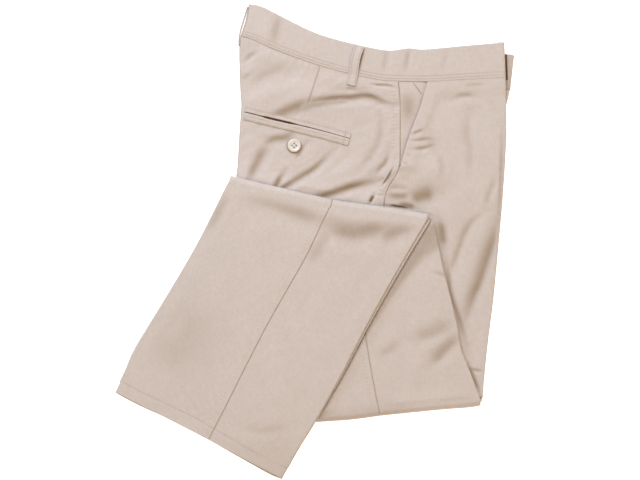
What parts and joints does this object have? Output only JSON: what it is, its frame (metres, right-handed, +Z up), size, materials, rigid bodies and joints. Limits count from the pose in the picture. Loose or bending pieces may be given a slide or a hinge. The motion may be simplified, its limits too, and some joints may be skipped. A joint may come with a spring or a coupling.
{
  "type": "chino trousers",
  "caption": "Pressed straight-leg cotton trousers, folded side-on and twice across the legs, lying flat with seat, pockets and hem in view.",
  "frame": {"origin": "on the surface that the garment lies on, under the middle of its box", "axes": "+X from the seat to the front crease, +Y from the knees to the waistband, +Z up from the surface"},
  "size_m": [0.4784, 0.5708, 0.0238],
  "materials": {
    "cotton_twill": "matt",
    "cotton_twill_inner": "matt",
    "button_resin": "satin"
  },
  "bodies": {
    "root": {"hidden_layers": "cotton_twill_inner", "right_back_seat": "cotton_twill", "right_front_thigh": "cotton_twill", "left_back_knee": "cotton_twill", "left_front_knee": "cotton_twill", "right_back_shin": "cotton_twill", "right_front_shin": "cotton_twill", "side_pocket_facing": "cotton_twill", "waistband_right": "cotton_twill", "waistband_left": "cotton_twill", "belt_loop_side": "cotton_twill", "belt_loop_centre_back": "cotton_twill", "welt_upper": "cotton_twill", "welt_lower": "cotton_twill", "pocket_button": "button_resin"}
  },
  "joints": []
}
